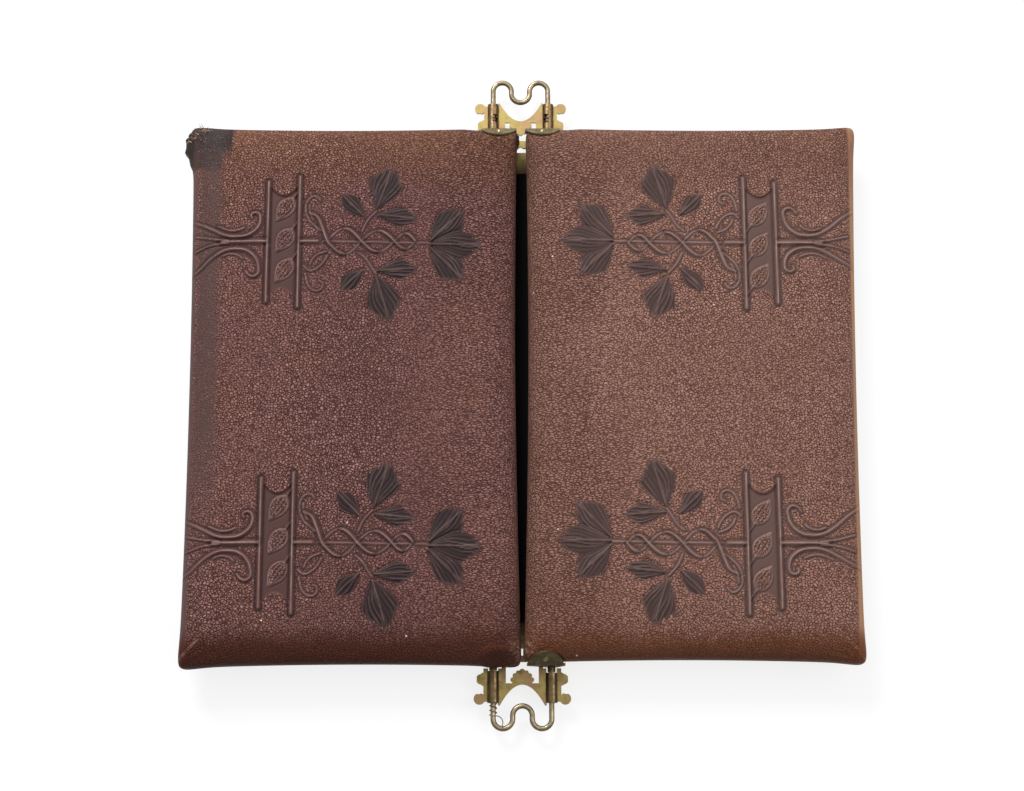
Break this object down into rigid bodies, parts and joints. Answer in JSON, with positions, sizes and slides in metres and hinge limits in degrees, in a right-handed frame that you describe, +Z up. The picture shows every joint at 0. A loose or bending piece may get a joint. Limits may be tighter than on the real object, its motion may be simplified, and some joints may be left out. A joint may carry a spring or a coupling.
{
  "type": "stamp album",
  "caption": "Small padded leather album that lies open face down, with thick card leaves, a cloth-covered backbone and sprung wire hinges in brass fittings at head and tail.",
  "frame": {"origin": "centre of the footprint at the level of the lowest leaves, on which the open album lies", "axes": "+Z up out of the covers' outer faces, +Y to the head of the album, +X to the right cover"},
  "size_m": [0.204, 0.206, 0.0188],
  "materials": {
    "cover_leather": "worn pebble grain, dark relief ornament",
    "cover_board": "raw",
    "wadding": "soft",
    "lining_paper": "matt, aged",
    "leaf_card": "smooth, aged",
    "guard_linen": "woven",
    "backbone_wood": "raw",
    "black_cloth": "matt",
    "plate_brass": "aged, stamped",
    "bracket_brass": "aged, dull",
    "barrel_bronze": "dark patina",
    "wire_bronze": "worn bright on dark patina",
    "spring_steel": "blued",
    "rivet_brass": "rubbed bright"
  },
  "bodies": {
    "spine": {"head_link_plate": "plate_brass", "tail_link_plate": "plate_brass", "head_left_barrel": "barrel_bronze", "head_right_barrel": "barrel_bronze", "tail_left_barrel": "barrel_bronze", "tail_right_barrel": "barrel_bronze", "head_hinge_wire": "wire_bronze", "tail_hinge_wire": "wire_bronze", "head_left_spring": "spring_steel", "head_right_spring": "spring_steel", "tail_left_spring": "spring_steel", "tail_right_spring": "spring_steel", "backbone": "backbone_wood", "spine_cloth": "black_cloth", "backbone_rivets": "rivet_brass", "left_guard_1": "guard_linen", "left_guard_2": "guard_linen", "left_guard_3": "guard_linen", "left_guard_4": "guard_linen", "right_guard_1": "guard_linen", "right_guard_2": "guard_linen", "right_guard_3": "guard_linen", "right_guard_4": "guard_linen"},
    "left_cover": {"left_board": "cover_board", "left_padding": "wadding", "left_leather": "cover_leather", "left_lining": "lining_paper", "left_head_bracket": "bracket_brass", "left_tail_bracket": "bracket_brass", "left_rivets": "rivet_brass"},
    "left_leaf_1_body": {"left_leaf_1": "leaf_card"},
    "left_leaf_2_body": {"left_leaf_2": "leaf_card"},
    "left_leaf_3_body": {"left_leaf_3": "leaf_card"},
    "left_leaf_4_body": {"left_leaf_4": "leaf_card"},
    "right_cover": {"right_board": "cover_board", "right_padding": "wadding", "right_leather": "cover_leather", "right_lining": "lining_paper", "right_head_bracket": "bracket_brass", "right_tail_bracket": "bracket_brass", "right_rivets": "rivet_brass"},
    "right_leaf_1_body": {"right_leaf_1": "leaf_card"},
    "right_leaf_2_body": {"right_leaf_2": "leaf_card"},
    "right_leaf_3_body": {"right_leaf_3": "leaf_card"},
    "right_leaf_4_body": {"right_leaf_4": "leaf_card"}
  },
  "joints": [
    {"name": "left_cover_hinge", "type": "hinge", "parent": "spine", "child": "left_cover", "pos_m": [-0.0087, 0, 0.0052], "axis": [0, -1, 0], "range_deg": [-3, 90], "stiffness_Nm_per_rad": 0.001, "springref_deg": 90},
    {"name": "right_cover_hinge", "type": "hinge", "parent": "spine", "child": "right_cover", "pos_m": [0.0087, 0, 0.0052], "axis": [0, 1, 0], "range_deg": [-3, 90], "stiffness_Nm_per_rad": 0.001, "springref_deg": 90},
    {"name": "left_leaf_1_turn", "type": "hinge", "parent": "spine", "child": "left_leaf_1_body", "pos_m": [-0.001, 0, 0.0007], "axis": [0, -1, 0], "range_deg": [-3, 90]},
    {"name": "left_leaf_2_turn", "type": "hinge", "parent": "spine", "child": "left_leaf_2_body", "pos_m": [-0.0036, 0, 0.003], "axis": [0, -1, 0], "range_deg": [-3, 90]},
    {"name": "left_leaf_3_turn", "type": "hinge", "parent": "spine", "child": "left_leaf_3_body", "pos_m": [-0.0074, 0, 0.0053], "axis": [0, -1, 0], "range_deg": [-3, 90]},
    {"name": "left_leaf_4_turn", "type": "hinge", "parent": "spine", "child": "left_leaf_4_body", "pos_m": [-0.01, 0, 0.0076], "axis": [0, -1, 0], "range_deg": [-3, 90]},
    {"name": "right_leaf_1_turn", "type": "hinge", "parent": "spine", "child": "right_leaf_1_body", "pos_m": [0.001, 0, 0.0007], "axis": [0, 1, 0], "range_deg": [-3, 90]},
    {"name": "right_leaf_2_turn", "type": "hinge", "parent": "spine", "child": "right_leaf_2_body", "pos_m": [0.0036, 0, 0.003], "axis": [0, 1, 0], "range_deg": [-3, 90]},
    {"name": "right_leaf_3_turn", "type": "hinge", "parent": "spine", "child": "right_leaf_3_body", "pos_m": [0.0074, 0, 0.0053], "axis": [0, 1, 0], "range_deg": [-3, 90]},
    {"name": "right_leaf_4_turn", "type": "hinge", "parent": "spine", "child": "right_leaf_4_body", "pos_m": [0.01, 0, 0.0076], "axis": [0, 1, 0], "range_deg": [-3, 90]}
  ],
  "couplings": [
    {"joint": "left_leaf_1_turn", "follows": "left_cover_hinge", "ratio": 1},
    {"joint": "left_leaf_2_turn", "follows": "left_cover_hinge", "ratio": 1},
    {"joint": "left_leaf_3_turn", "follows": "left_cover_hinge", "ratio": 1},
    {"joint": "left_leaf_4_turn", "follows": "left_cover_hinge", "ratio": 1},
    {"joint": "right_leaf_1_turn", "follows": "right_cover_hinge", "ratio": 1},
    {"joint": "right_leaf_2_turn", "follows": "right_cover_hinge", "ratio": 1},
    {"joint": "right_leaf_3_turn", "follows": "right_cover_hinge", "ratio": 1},
    {"joint": "right_leaf_4_turn", "follows": "right_cover_hinge", "ratio": 1}
  ]
}
